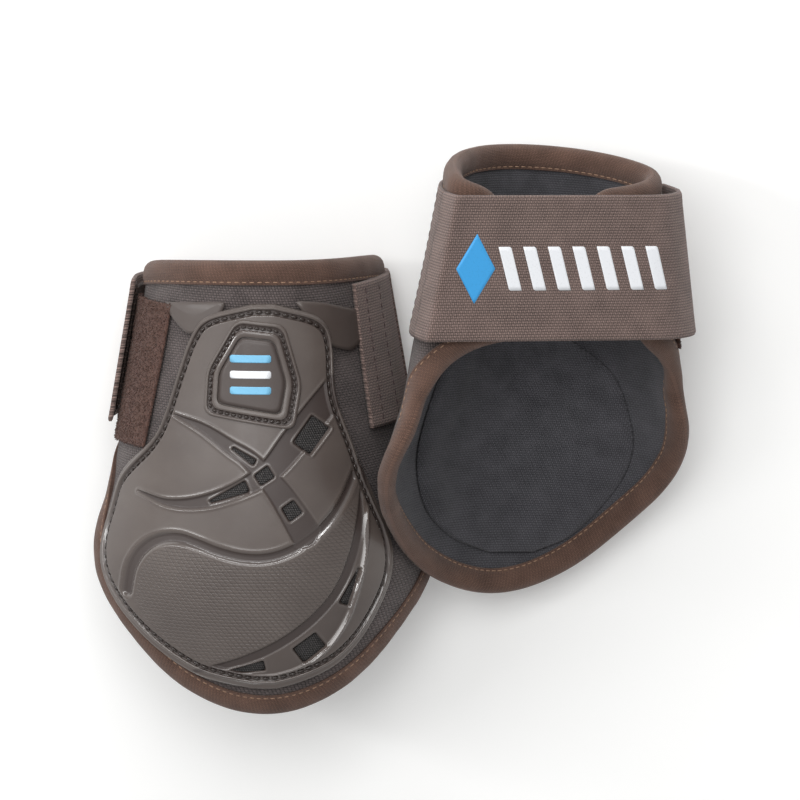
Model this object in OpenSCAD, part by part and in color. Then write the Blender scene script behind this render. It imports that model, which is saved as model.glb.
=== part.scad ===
// A pair of hind fetlock boots for a horse, laid out flat.
// The left boot lies on its strap with the moulded shell up.
// The right boot leans on the left one with its strap and open back up.
// Each boot is drawn in its own frame: x across, y up the leg, z out of the shell.
// A place on a boot's wall is an angle phi round the leg (0 is the middle of the shell),
// a height y, and a distance d out of the middle of the wall.

/* [Boot] */
// Height from the lowest point of the cup to the top of the collar
boot_h = 153; // [148:1:158]
// Half width of the cup at its widest, to the middle of the wall
cup_half_w = 57.5; // [55:0.5:60]
// Half width of the collar at its top, to the middle of the wall
collar_half_w = 36.5; // [35:0.5:38]
// Depth of the cup, from the flanks to the front of the wall
cup_depth = 40; // [38:0.5:42]
// Depth of the collar, from the flanks to the front of the wall
collar_depth = 30; // [28:0.5:32]
// Depth of the back, from the flanks to the wall behind the leg
back_depth = 20; // [19:0.5:21]
// Height by which the rim climbs from the front of the cup to the back of the flanks
rim_climb = 96; // [92:0.5:97]
// Height by which the collar is lower at the back than at the front
collar_drop = 9; // [8:0.5:10]

/* [Wall] */
// Thickness of the padded liner
liner_t = 3.6; // [3:0.1:4]
// Thickness of the moulded shell
shell_t = 2; // [1.6:0.1:2.4]
// Width of the binding tape on the edges
binding_w = 8.2; // [7:0.1:8.6]
// Thickness of a bound edge
binding_t = 6; // [5:0.1:6.4]
// Thickness of the strike pad inside the cup
pad_t = 4.5; // [3:0.1:5.5]

/* [Strap] */
// Width of the elastic strap
strap_w = 48; // [46:0.5:49]
// Thickness of the strap
strap_t = 1.6; // [1.2:0.1:2]
// Height of the strap's middle above the lowest point of the cup
strap_y = 119; // [118:0.5:120]
// Depth of the strap's inner face behind the flanks
strap_depth = 24.6; // [24.4:0.1:27]

/* [Layout] */
// Distance from the left boot's middle to the right boot's middle
pair_gap_x = 86.5; // [86.5:0.5:100]
// Distance by which the right boot lies further up
pair_gap_y = 34; // [32:0.5:38]
// Lean of the right boot, with the side on the left boot raised
lean = 20; // [18:0.5:22]
// Turn of the right boot in the plane of the floor
turn = -2.5; // [-4:0.5:0]
// How far the flank on the strap's sewn side is drawn in
flank_in = 1; // [0:0.5:4]
// How far the flank on the strap's sewn side sits further back than the other, at the strap
flank_back = 15; // [14:0.5:16]
// The same for the rim of the cup
rim_back = 22; // [21:0.5:23]
// Height of the right boot's middle above the floor
right_mid_h = 48; // [48:0.1:60]

/* [Hidden] */

front_power = 1.32;
// Layers of the wall, as distances out of its middle
liner_out = liner_t / 2;
layer_gap = 0.7;
shell_in = liner_out + layer_gap;
shell_out = shell_in + shell_t;
loop_out = shell_in + 0.9;
hook_t = 0.8;
hook_gap = 0.3;
tab_in = loop_out + 0.6 + hook_t + hook_gap;

// Shares of the way from the collar's size to the cup's size, by share of the height
width_mix = [[0, 0.64], [0.145, 0.84], [0.31, 1], [0.47, 0.66], [0.61, 0.48], [0.79, 0.24], [1, 0]];
depth_mix = [[0, -0.2], [0.145, 0.62], [0.31, 1], [0.5, 0.82], [0.72, 0.36], [1, 0]];

// Angles of the shell's two edges, by height
shell_left = [[10, -4], [13, -20], [18, -31], [24, -40], [31, -48.4], [39, -56.6], [48, -64.5],
              [58, -68.6], [69, -69.8], [79, -68], [87, -55], [92, -47], [103, -42],
              [116, -38], [128, -33], [135, -25], [139, -5]];
shell_right = [[10, 4], [12, 12], [17, 24], [25, 33], [35, 39], [47, 44], [60, 46], [71, 44],
               [90, 37], [108, 31], [128, 31], [135, 24], [139, 5]];
// Angles of the strike pad's two edges, by height
pad_left = [[14, -16], [19, -30], [32, -44], [45, -52], [60, -55], [76, -50], [88, -28]];
pad_right = [[14, 2], [19, 17], [32, 31], [58, 34], [78, 28], [88, 12]];

// Share of the rim's climb, by angle
rim_mix = [[-30, 0.085], [0, 0], [30, 0.085], [60, 0.32], [80, 0.53], [95, 0.69], [110, 0.82],
           [125, 0.905], [145, 0.965], [180, 1], [215, 1]];

// ---- Curves and walls ----

function mix(a, b, t) = a + (b - a) * t;
function unit(p) = p / norm(p);

// A smooth curve through stations [x, value], and its slope at a station
function station(c, x, i = 0) =
    i >= len(c) - 2 || x < c[i + 1][0] ? i : station(c, x, i + 1);
function rise(c, i) =
    let (a = max(i - 1, 0), b = min(i + 1, len(c) - 1)) (c[b][1] - c[a][1]) / (c[b][0] - c[a][0]);
function curve(c, x) =
    let (i = station(c, x), w = c[i + 1][0] - c[i][0], t = (x - c[i][0]) / w)
    (1 + 2 * t) * (1 - t) * (1 - t) * c[i][1] + t * t * (3 - 2 * t) * c[i + 1][1]
    + t * (1 - t) * w * ((1 - t) * rise(c, i) - t * rise(c, i + 1));

// The flank on the sewn side is drawn in above the cup
function drawn(y) = flank_in * curve([[0, 0], [58, 0], [92, 1], [160, 1]], y);
function half_w(y, phi) =
    mix(collar_half_w, cup_half_w, curve(width_mix, y / boot_h)) - (sin(phi) > 0 ? drawn(y) : 0);
function front_depth(y) = mix(collar_depth, cup_depth, curve(depth_mix, y / boot_h));
function wall_depth(y, phi) = cos(phi) > 0 ? front_depth(y) : back_depth;
function set_back(phi, y) =
    mix(rim_back, flank_back, curve([[0, 0], [55, 0], [92, 1], [160, 1]], y))
    * pow(max(0, sin(phi)), 3);
// The front of the wall is a little sharper than an ellipse
function bulge(phi) = cos(phi) > 0 ? pow(cos(phi), front_power) : cos(phi);
function wall(phi, y, d) =
    [(half_w(y, phi) + d) * sin(phi), y, (wall_depth(y, phi) + d) * bulge(phi) - set_back(phi, y)];
function wall_speed(y, phi) =
    norm([half_w(y, phi) * cos(phi), wall_depth(y, phi) * sin(phi)]) * PI / 180;
function out_of_wall(phi, y) =
    unit(cross(wall(phi + 0.4, y, 0) - wall(phi - 0.4, y, 0),
               wall(phi, y + 0.4, 0) - wall(phi, y - 0.4, 0)));

// The lower and upper edges of a boot, set in by a margin
function rim_y(phi) = rim_climb * curve(rim_mix, abs(phi));
function rim_slope(phi) =
    (rim_y(phi + 2) - rim_y(phi - 2)) / (4 * wall_speed(rim_y(phi), phi));
function low_y(phi, margin) = rim_y(phi) + margin * norm([1, rim_slope(phi)]);
function top_y(phi, margin) = boot_h - collar_drop * (1 - cos(phi)) / 2 - margin;
// The free edges of the two flanks run aslant behind the leg
function free_angle(side, v, margin) =
    (side > 0 ? mix(202, 140, v) : mix(-142, -174, v)) - side * margin / wall_speed(118, 180);

// ---- Solids from grids of points ----

// A closed solid between two grids of the same size, outer and inner
module between(outer, inner) {
    rows = len(outer);
    cols = len(outer[0]);
    count = rows * cols;
    function at(i, j, side) = i * cols + j + side * count;
    function two(a, b, c, d) = [[a, c, b], [a, d, c]];
    faces = [
        for (i = [0:rows - 2], j = [0:cols - 2])
            each two(at(i, j, 0), at(i, j + 1, 0), at(i + 1, j + 1, 0), at(i + 1, j, 0)),
        for (i = [0:rows - 2], j = [0:cols - 2])
            each two(at(i, j, 1), at(i + 1, j, 1), at(i + 1, j + 1, 1), at(i, j + 1, 1)),
        for (j = [0:cols - 2])
            each two(at(0, j, 1), at(0, j + 1, 1), at(0, j + 1, 0), at(0, j, 0)),
        for (j = [0:cols - 2])
            each two(at(rows - 1, j, 0), at(rows - 1, j + 1, 0), at(rows - 1, j + 1, 1),
                     at(rows - 1, j, 1)),
        for (i = [0:rows - 2])
            each two(at(i, 0, 0), at(i + 1, 0, 0), at(i + 1, 0, 1), at(i, 0, 1)),
        for (i = [0:rows - 2])
            each two(at(i, cols - 1, 1), at(i + 1, cols - 1, 1), at(i + 1, cols - 1, 0),
                     at(i, cols - 1, 0))
    ];
    polyhedron([for (row = outer) each row, for (row = inner) each row], faces);
}

// A sheet on the wall between two edges given by height
module wall_patch(left, right, d_in, d_out, rows, cols) {
    low = left[0][0];
    high = left[len(left) - 1][0];
    function height(i) = mix(low, high, (1 - cos(180 * i / rows)) / 2);
    function place(i, j, d) =
        let (y = height(i)) wall(mix(curve(left, y), curve(right, y), j / cols), y, d);
    between([for (i = [0:rows]) [for (j = [0:cols]) place(i, j, d_out)]],
            [for (i = [0:rows]) [for (j = [0:cols]) place(i, j, d_in)]]);
}

// A bound edge: an oval swept along wall places [phi, y]
module bound_edge(path) {
    sides = 8;
    last = len(path) - 1;
    function spot(i) = wall(path[i][0], path[i][1], 0);
    function ring(i) =
        let (out = out_of_wall(path[i][0], path[i][1]),
             along = unit(spot(min(i + 1, last)) - spot(max(i - 1, 0))),
             across = unit(cross(along, out)))
        [for (k = [0:sides - 1])
            spot(i) + across * binding_w / 2 * cos(360 * k / sides)
            + out * binding_t / 2 * sin(360 * k / sides)];
    rings = [for (i = [0:last]) ring(i)];
    polyhedron(
        [for (r = rings) each r],
        concat(
            [[for (k = [0:sides - 1]) sides - 1 - k]],
            [[for (k = [0:sides - 1]) last * sides + k]],
            [for (i = [0:last - 1], k = [0:sides - 1])
                let (a = i * sides + k, b = i * sides + (k + 1) % sides)
                each [[a, b + sides, a + sides], [a, b, b + sides]]]));
}

// A rounded corner through wall places a, corner, b
function bend(a, corner, b) =
    [for (t = [0.17:0.165:0.84]) (1 - t) * (1 - t) * a + 2 * t * (1 - t) * corner + t * t * b];

// Stitches laid along wall places
module stitches(path, d, pitch) {
    for (i = [0:len(path) - 2]) {
        a = wall(path[i][0], path[i][1], d);
        b = wall(path[i + 1][0], path[i + 1][1], d);
        count = max(1, round(norm(b - a) / pitch));
        for (k = [0:count - 1]) {
            t = (k + 0.5) / count;
            p = mix(path[i], path[i + 1], t);
            on_wall(p[0], p[1], d, b - a) cube([stitch_len, stitch_w, stitch_t], center = true);
        }
    }
}
stitch_len = 2.6;
stitch_w = 0.6;
stitch_t = 0.5;

// Carry flat work onto the wall, x along a direction and z out of the wall
module on_wall(phi, y, d, along) {
    out = out_of_wall(phi, y);
    x = unit(along - out * (along * out));
    y_axis = cross(out, x);
    p = wall(phi, y, d);
    multmatrix([[x[0], y_axis[0], out[0], p[0]],
                [x[1], y_axis[1], out[1], p[1]],
                [x[2], y_axis[2], out[2], p[2]],
                [0, 0, 0, 1]]) children();
}

// ---- Edges of the boot ----

edge_in = binding_w / 2;
corner_r = 10;
// Places on the centre line of the binding
function on_free(side, v) =
    let (phi = free_angle(side, v, edge_in))
    [phi, mix(low_y(phi, edge_in), top_y(phi, edge_in), v)];
function on_low(phi) = [phi, low_y(phi, edge_in)];
function on_top(phi) = [phi, top_y(phi, edge_in)];
function corner_turn(phi) = corner_r / wall_speed(118, phi);
corner_v = 0.28;
collar_end_v = 0.68;

function collar_path() =
    let (right = on_free(1, 1)[0], left = on_free(-1, 1)[0],
         from = right - corner_turn(180), to = left + corner_turn(180), n = 40)
    concat(
        [on_free(1, collar_end_v), on_free(1, mix(collar_end_v, 1 - corner_v, 0.9))],
        bend(on_free(1, 1 - corner_v), on_free(1, 1), on_top(from)),
        [for (i = [0:n]) on_top(mix(from, to, i / n))],
        bend(on_top(to), on_free(-1, 1), on_free(-1, 1 - corner_v)),
        [on_free(-1, mix(collar_end_v, 1 - corner_v, 0.9)), on_free(-1, collar_end_v)]);
function rim_path() =
    let (right = on_free(1, 0)[0], left = on_free(-1, 0)[0],
         from = left + corner_turn(180), to = right - corner_turn(180), n = 56,
         start_v = collar_end_v - 0.02)
    concat(
        [on_free(-1, start_v), on_free(-1, mix(start_v, corner_v, 0.5))],
        bend(on_free(-1, corner_v), on_free(-1, 0), on_low(from)),
        [for (i = [0:n]) on_low(mix(from, to, i / n))],
        bend(on_low(to), on_free(1, 0), on_free(1, corner_v)),
        [on_free(1, mix(start_v, corner_v, 0.5)), on_free(1, start_v)]);

// ---- Soft wall of the boot ----

module liner() {
    cols = 44;
    rows = 11;
    margin = binding_w + 0.6;
    rim_margin = binding_w + 5.8;
    free_margin = binding_w + 8;
    // The corners of the flanks are rounded off over this share of the liner's length
    round_u = 0.11;
    round_v = 0.38;
    function cut(u) =
        let (t = max(0, abs(u) - (1 - round_u)) / round_u) round_v * (1 - sqrt(1 - t * t));
    function place(i, j, d) =
        let (u = sin(90 * (2 * j / cols - 1)) * 0.35 + (2 * j / cols - 1) * 0.65,
             v = mix(cut(u), 1 - cut(u), i / rows),
             phi = mix(free_angle(-1, v, free_margin), free_angle(1, v, free_margin), (u + 1) / 2))
        wall(phi, mix(low_y(phi, rim_margin), top_y(phi, margin), v), d);
    between([for (i = [0:rows]) [for (j = [0:cols]) place(i, j, liner_out)]],
            [for (i = [0:rows]) [for (j = [0:cols]) place(i, j, -liner_out)]]);
}

module strike_pad() {
    d_out = -liner_out - 0.5;
    wall_patch(pad_left, pad_right, d_out - pad_t, d_out, 12, 12);
}

// ---- Shell, badge and vents ----

// Vent windows as [x, y, length, width, turn]
windows = [[16, 95.5, 10.8, 7.6, 52], [0.3, 82.7, 6, 4.5, 34], [9.5, 71.1, 5.4, 5.4, -56],
           [-11.7, 76.6, 13, 3.6, 24], [-6.3, 89.4, 9, 2.2, -32], [28.7, 42.2, 9, 4.6, 64],
           [15, 24.3, 10, 6.4, 34], [-7, 16.2, 13, 2.8, 6]];
window_reach = 90;

module window_row() {
    for (w = windows)
        translate([w[0], w[1], 0])
            rotate(w[4])
                linear_extrude(window_reach)
                    square([w[2], w[3]], center = true);
}

module shell() {
    difference() {
        wall_patch(shell_left, shell_right, shell_in, shell_out, 26, 20);
        window_row();
    }
}

// Flat mesh panels inside the windows, a little smaller than each opening
module vent_mesh() {
    panel_t = 0.5;
    play = 1.6;
    d = shell_in + panel_t;
    for (w = windows)
        on_wall(asin(w[0] / (half_w(w[1], w[0]) + d)), w[1], d, [1, 0, 0])
            rotate(w[4])
                cube([w[2] - play, w[3] - play, panel_t], center = true);
}

badge_phi = -6;
badge_y = 115;
badge_clear = 0.5;
badge_frame_t = 2.2;
badge_plate_t = 1.2;
// Corners of the badge, about its centre
badge_outline = [[-3.5, 15], [9, 13.6], [13.5, -2], [11.5, -13.5], [-12, -9.8], [-11.3, 1.5]];

module on_badge(height) {
    on_wall(badge_phi, badge_y, shell_out + height, [1, 0, 0]) children();
}

module badge_frame() {
    on_badge(badge_clear)
        linear_extrude(badge_frame_t)
            difference() {
                polygon([for (p = badge_outline) p * 1.28]);
                polygon([for (p = badge_outline) p * 1.06]);
            }
}

module badge_plate() {
    on_badge(badge_clear)
        linear_extrude(badge_plate_t)
            polygon(badge_outline);
}

// Three plain parallel stripes
module badge_stripes() {
    stripe_t = 0.4;
    on_badge(badge_clear + badge_plate_t + 0.05)
        for (k = [-1:1])
            translate([0.6, 1 + 5.4 * k, stripe_t / 2])
                cube([14, 2.6, stripe_t], center = true);
}

module badge_stitching() {
    ring = 1.18;
    count = len(badge_outline);
    per_side = 4;
    on_badge(badge_clear + badge_frame_t + stitch_t / 2 + 0.02)
        for (i = [0:count - 1], k = [0:per_side - 1]) {
            a = badge_outline[i] * ring;
            b = badge_outline[(i + 1) % count] * ring;
            p = mix(a, b, (k + 0.5) / per_side);
            translate(p)
                rotate(atan2(b[1] - a[1], b[0] - a[0]))
                    cube([stitch_len * 0.8, stitch_w, stitch_t], center = true);
        }
}

module shell_stitching() {
    inset = 3.2;
    d = shell_out + stitch_t / 2 + 0.14;
    function mark(limits, i, side) =
        [limits[i][1] - side * inset / wall_speed(limits[i][0], limits[i][1]), limits[i][0]];
    left = [for (i = [1:len(shell_left) - 2]) mark(shell_left, i, -1)];
    right = [for (i = [1:len(shell_right) - 2]) mark(shell_right, i, 1)];
    stitches(left, d, 5.2);
    stitches(right, d, 5.2);
}

// ---- Strap ----

strap_low = strap_y - strap_w / 2;
strap_high = strap_y + strap_w / 2;
base_end_phi = 88;
span_start_phi = 90.15;
bend_phi = -124;
tab_end_phi = -88;

// Half width of the strap's loop, straight from its lower edge to its upper edge
function strap_half(y, side) =
    mix(half_w(strap_low, side * 90), half_w(strap_high, side * 90), (y - strap_low) / strap_w);
// A place on the strap: off is its distance from the wall at the sides, t is a depth
// out of its inner face
function strap_at(phi, y, off, t) =
    let (side = sin(phi) > 0 ? 1 : -1, c = pow(abs(cos(phi)), 0.62), back = strap_depth + t)
    [(strap_half(y, side) + off + t) * sin(phi), y,
     -sign(-cos(phi)) * min(back, 1.22 * c * back + set_back(phi, y))];

// A strip of the strap between two angles, low and high edges, and two depths
module strip(from, to, low, high, off_from, off_to, t_in, t_out, cols) {
    function place(i, j, t) =
        strap_at(mix(from, to, j / cols), mix(low, high, i), mix(off_from, off_to, j / cols), t);
    between([for (i = [0:1]) [for (j = [0:cols]) place(i, j, t_out)]],
            [for (i = [0:1]) [for (j = [0:cols]) place(i, j, t_in)]]);
}

module strap_base() {
    cols = 10;
    function place(i, j, d) =
        wall(mix(50, base_end_phi, j / cols), mix(strap_low, strap_high, i), d);
    between([for (i = [0:3]) [for (j = [0:cols]) place(i / 3, j, shell_in + strap_t)]],
            [for (i = [0:3]) [for (j = [0:cols]) place(i / 3, j, shell_in)]]);
}

module strap_span() {
    difference() {
        strip(span_start_phi, 360 + bend_phi - 1, strap_low, strap_high,
              shell_in + 0.3, tab_in, 0, strap_t, 40);
        print_shapes(print_pocket, 1, 0.15);
    }
}

module strap_tab() {
    strip(360 + bend_phi + 1, 360 + tab_end_phi, strap_low, strap_high,
          tab_in, tab_in, 0, strap_t, 12);
}

module hook_pad() {
    strip(360 + bend_phi + 6, 360 + tab_end_phi - 4, strap_low + 3, strap_high - 3,
          tab_in, tab_in, -hook_gap - hook_t, -hook_gap, 8);
}

module loop_patch() {
    cols = 14;
    slant = 6;
    function place(i, j, d) =
        let (y = mix(strap_low - 6, strap_high - 6, i))
        wall(mix(-104, -50, j / cols) + slant * (i - 0.5), y, d);
    between([for (i = [0:5]) [for (j = [0:cols]) place(i / 5, j, loop_out)]],
            [for (i = [0:5]) [for (j = [0:cols]) place(i / 5, j, shell_in)]]);
}

// A plain wordless print: a diamond and a row of slanting bars, laid into the strap's face
print_t = 0.2;
print_pocket = 0.3;
module print_shapes(depth, over, play) {
    translate([0, strap_y, -strap_depth - strap_t - over])
        linear_extrude(depth + over)
            offset(delta = play) {
                translate([21, 0]) polygon([[-7, 0], [0, -11], [7, 0], [0, 11]]);
                for (k = [0:4])
                    translate([8.5 - 8.5 * k, 0])
                        polygon([[-4, -7], [0, -7], [4, 7], [0, 7]]);
            }
}

module strap_print() {
    translate([0, 0, print_pocket - print_t]) print_shapes(print_t, 0, 0);
}

module strap_stitching() {
    d = shell_in + strap_t + stitch_t / 2 + 0.45;
    rows = 6;
    for (phi = [54, 66], k = [0:rows])
        on_wall(phi, mix(strap_low + 3, strap_high - 3, k / rows), d, [0, 1, 0])
            cube([stitch_len * 1.4, stitch_w, stitch_t], center = true);
}

// ---- The two boots in their places ----

module left_place() {
    translate([0, -strap_y, strap_depth + strap_t]) children();
}
module right_place() {
    translate([pair_gap_x, pair_gap_y - strap_y, right_mid_h])
        rotate([0, lean, turn])
            rotate([0, 180, 0]) children();
}

module left_shell() { color([0.42, 0.4, 0.39]) left_place() shell(); }
module left_liner() { color([0.2, 0.19, 0.19]) left_place() liner(); }
module left_strike_pad() { color([0.16, 0.16, 0.17]) left_place() strike_pad(); }
module left_collar_binding() { color([0.34, 0.27, 0.24]) left_place() bound_edge(collar_path()); }
module left_rim_binding() { color([0.36, 0.29, 0.25]) left_place() bound_edge(rim_path()); }
module left_badge_frame() { color([0.36, 0.33, 0.32]) left_place() badge_frame(); }
module left_badge_plate() { color([0.12, 0.12, 0.13]) left_place() badge_plate(); }
module left_badge_stripes() { color([0.45, 0.75, 0.9]) left_place() badge_stripes(); }
module left_loop_patch() { color([0.35, 0.26, 0.23]) left_place() loop_patch(); }
module left_strap_base() { color([0.43, 0.36, 0.35]) left_place() strap_base(); }
module left_strap_span() { color([0.45, 0.38, 0.37]) left_place() strap_span(); }
module left_strap_tab() { color([0.45, 0.38, 0.37]) left_place() strap_tab(); }
module left_hook_pad() { color([0.2, 0.17, 0.16]) left_place() hook_pad(); }
module left_strap_print() { color([0.9, 0.93, 0.95]) left_place() strap_print(); }
module left_shell_stitching() { color([0.55, 0.5, 0.48]) left_place() shell_stitching(); }
module left_badge_stitching() { color([0.55, 0.5, 0.48]) left_place() badge_stitching(); }
module left_strap_stitching() { color([0.3, 0.24, 0.22]) left_place() strap_stitching(); }
module left_vent_mesh() { color([0.1, 0.1, 0.1]) left_place() vent_mesh(); }
module right_shell() { color([0.42, 0.4, 0.39]) right_place() shell(); }
module right_liner() { color([0.2, 0.19, 0.19]) right_place() liner(); }
module right_strike_pad() { color([0.16, 0.16, 0.17]) right_place() strike_pad(); }
module right_collar_binding() { color([0.34, 0.27, 0.24]) right_place() bound_edge(collar_path()); }
module right_rim_binding() { color([0.36, 0.29, 0.25]) right_place() bound_edge(rim_path()); }
module right_badge_frame() { color([0.36, 0.33, 0.32]) right_place() badge_frame(); }
module right_badge_plate() { color([0.12, 0.12, 0.13]) right_place() badge_plate(); }
module right_badge_stripes() { color([0.45, 0.75, 0.9]) right_place() badge_stripes(); }
module right_loop_patch() { color([0.35, 0.26, 0.23]) right_place() loop_patch(); }
module right_strap_base() { color([0.43, 0.36, 0.35]) right_place() strap_base(); }
module right_strap_span() { color([0.45, 0.38, 0.37]) right_place() strap_span(); }
module right_strap_tab() { color([0.45, 0.38, 0.37]) right_place() strap_tab(); }
module right_hook_pad() { color([0.2, 0.17, 0.16]) right_place() hook_pad(); }
module right_strap_print() { color([0.9, 0.93, 0.95]) right_place() strap_print(); }
module right_shell_stitching() { color([0.55, 0.5, 0.48]) right_place() shell_stitching(); }
module right_badge_stitching() { color([0.55, 0.5, 0.48]) right_place() badge_stitching(); }
module right_strap_stitching() { color([0.3, 0.24, 0.22]) right_place() strap_stitching(); }
module right_vent_mesh() { color([0.1, 0.1, 0.1]) right_place() vent_mesh(); }

left_shell();
left_liner();
left_strike_pad();
left_collar_binding();
left_rim_binding();
left_badge_frame();
left_badge_plate();
left_badge_stripes();
left_loop_patch();
left_strap_base();
left_strap_span();
left_strap_tab();
left_hook_pad();
left_strap_print();
left_shell_stitching();
left_badge_stitching();
left_strap_stitching();
left_vent_mesh();
right_shell();
right_liner();
right_strike_pad();
right_collar_binding();
right_rim_binding();
right_badge_frame();
right_badge_plate();
right_badge_stripes();
right_loop_patch();
right_strap_base();
right_strap_span();
right_strap_tab();
right_hook_pad();
right_strap_print();
right_shell_stitching();
right_badge_stitching();
right_strap_stitching();
right_vent_mesh();
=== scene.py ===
"""The looks of a pair of hind fetlock boots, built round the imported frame.

Each boot is drawn in its own frame in millimetres: x across, y up the leg, z out of the shell.
A place on the boot's wall is an angle phi round the leg in degrees (0 is the middle of the
shell), a height y, and a distance d out of the middle of the wall.
"""
import math

import bpy
import numpy as np
from mathutils import Matrix, Vector


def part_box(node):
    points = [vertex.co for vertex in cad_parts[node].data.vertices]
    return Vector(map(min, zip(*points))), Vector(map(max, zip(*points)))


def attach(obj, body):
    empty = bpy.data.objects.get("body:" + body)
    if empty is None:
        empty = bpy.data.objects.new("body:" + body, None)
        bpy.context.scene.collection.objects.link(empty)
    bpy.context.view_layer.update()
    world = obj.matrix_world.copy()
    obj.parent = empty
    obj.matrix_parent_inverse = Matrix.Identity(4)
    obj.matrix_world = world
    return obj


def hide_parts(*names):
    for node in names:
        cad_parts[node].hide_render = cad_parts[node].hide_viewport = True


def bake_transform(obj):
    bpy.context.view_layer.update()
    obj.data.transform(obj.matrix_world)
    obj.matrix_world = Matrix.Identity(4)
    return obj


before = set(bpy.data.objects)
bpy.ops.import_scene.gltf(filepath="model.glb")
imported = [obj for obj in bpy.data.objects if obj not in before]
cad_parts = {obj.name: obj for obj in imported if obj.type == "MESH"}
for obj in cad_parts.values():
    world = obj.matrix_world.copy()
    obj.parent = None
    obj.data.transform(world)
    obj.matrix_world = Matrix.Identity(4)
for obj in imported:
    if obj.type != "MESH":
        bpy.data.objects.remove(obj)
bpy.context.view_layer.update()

MM = 0.001

# ---- the boot's dimensions

BOOT_H = 153
CUP_HALF_W, COLLAR_HALF_W = 57.5, 36.5
CUP_DEPTH, COLLAR_DEPTH, BACK_DEPTH = 40, 30, 20
RIM_CLIMB, COLLAR_DROP = 96, 9
LINER_OUT = 1.8
SHELL_IN, SHELL_T = 2.5, 2.0
SHELL_OUT = SHELL_IN + SHELL_T
LOOP_OUT = SHELL_IN + 0.9
BINDING_W = 8.2
STRAP_W, STRAP_T, STRAP_Y, STRAP_DEPTH = 48, 1.6, 119, 24.6
STRAP_LOW, STRAP_HIGH = STRAP_Y - STRAP_W / 2, STRAP_Y + STRAP_W / 2
HOOK_T, HOOK_GAP = 0.8, 0.3
TAB_IN = LOOP_OUT + 0.6 + HOOK_T + HOOK_GAP
FLANK_IN, FLANK_BACK, RIM_BACK = 1, 15, 22
SHELL_LOW, SHELL_HIGH = 10, 139
CHANNEL_WIDE, CHANNEL_NARROW = 4.2, 2.7
LUG_IN, LUG_T = 0.15 - SHELL_T, 0.7
TAPE_STEP, LINE_STEPS = 0.8, 70
FRONT_POWER = 1.32
LEAN, TURN = 20, -2.5
SPAN_START_PHI, BEND_PHI, TAB_END_PHI = 90.15, -124, -88
BASE_START_PHI, SEAM_PHIS = 47, (54, 66)
WELL_DEPTH, CHANNEL_DEPTH, RIDGE_H, WINDOW_RIM_H, LIP_H = 1.55, 0.8, 0.85, 0.3, 0.16

# Shares of width and depth by share of height, and of the rim's climb by angle
WIDTH_MIX = [[0, 0.64], [0.145, 0.84], [0.31, 1], [0.47, 0.66], [0.61, 0.48], [0.79, 0.24], [1, 0]]
DEPTH_MIX = [[0, -0.2], [0.145, 0.62], [0.31, 1], [0.5, 0.82], [0.72, 0.36], [1, 0]]
RIM_MIX = [[-30, 0.085], [0, 0], [30, 0.085], [60, 0.32], [80, 0.53], [95, 0.69], [110, 0.82],
           [125, 0.905], [145, 0.965], [180, 1], [215, 1]]
# Edges of the shell and of the pad as [height, angle]
SHELL_LEFT = [[10, -4], [13, -20], [18, -31], [24, -41], [31, -50], [39, -58], [48, -64.5],
              [58, -69], [69, -70], [79, -68], [87, -55], [92, -47], [103, -42],
              [116, -38], [128, -33], [135, -25], [139, -5]]
SHELL_RIGHT = [[10, 4], [12, 12], [17, 24], [25, 33], [35, 39], [47, 44], [60, 46], [71, 44],
               [90, 37], [108, 31], [128, 31], [135, 24], [139, 5]]
PAD_LEFT = [[14, -16], [19, -30], [32, -44], [45, -52], [60, -55], [76, -50], [88, -28]]
PAD_RIGHT = [[14, 2], [19, 17], [32, 31], [58, 34], [78, 28], [88, 12]]


# ---- curves and walls

def mix(a, b, t):
    return a + (b - a) * t


def smoothstep(low, high, x):
    t = np.clip((x - low) / (high - low), 0, 1)
    return t * t * (3 - 2 * t)


def curve(stations, x):
    """A smooth curve through stations [x, value]."""
    xs, vs = np.array(stations, float).T
    last = len(xs) - 1
    before = np.maximum(np.arange(last + 1) - 1, 0)
    after = np.minimum(np.arange(last + 1) + 1, last)
    slope = (vs[after] - vs[before]) / (xs[after] - xs[before])
    x = np.asarray(x, float)
    i = np.clip(np.searchsorted(xs, x, side="right") - 1, 0, last - 1)
    w = xs[i + 1] - xs[i]
    t = (x - xs[i]) / w
    return ((1 + 2 * t) * (1 - t) ** 2 * vs[i] + t * t * (3 - 2 * t) * vs[i + 1]
            + t * (1 - t) * w * ((1 - t) * slope[i] - t * slope[i + 1]))


def alike(*values):
    """Numbers and arrays spread out to one shape."""
    return np.broadcast_arrays(*[np.asarray(value, float) for value in values])


def sin_d(a):
    return np.sin(np.radians(a))


def cos_d(a):
    return np.cos(np.radians(a))


def half_w(y, phi):
    drawn = FLANK_IN * curve([[0, 0], [58, 0], [92, 1], [160, 1]], y)
    width = mix(COLLAR_HALF_W, CUP_HALF_W, curve(WIDTH_MIX, np.asarray(y) / BOOT_H))
    return width - np.where(sin_d(phi) > 0, drawn, 0)


def set_back(phi, y):
    back = mix(RIM_BACK, FLANK_BACK, curve([[0, 0], [55, 0], [92, 1], [160, 1]], y))
    return back * np.maximum(0, sin_d(phi)) ** 3


def wall_depth(y, phi):
    front = mix(COLLAR_DEPTH, CUP_DEPTH, curve(DEPTH_MIX, np.asarray(y) / BOOT_H))
    return np.where(cos_d(phi) > 0, front, BACK_DEPTH)


def wall(phi, y, d):
    phi, y, d = alike(phi, y, d)
    c = cos_d(phi)
    bulge = np.where(c > 0, np.abs(c) ** FRONT_POWER, c)
    return np.stack([(half_w(y, phi) + d) * sin_d(phi), y,
                     (wall_depth(y, phi) + d) * bulge - set_back(phi, y)], -1)


def smoothed(lines, times):
    """Each line of numbers eased towards its neighbours in place, its ends kept."""
    for _ in range(times):
        for line in lines:
            line[1:-1] = (line[:-2] + 2 * line[1:-1] + line[2:]) / 4


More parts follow.
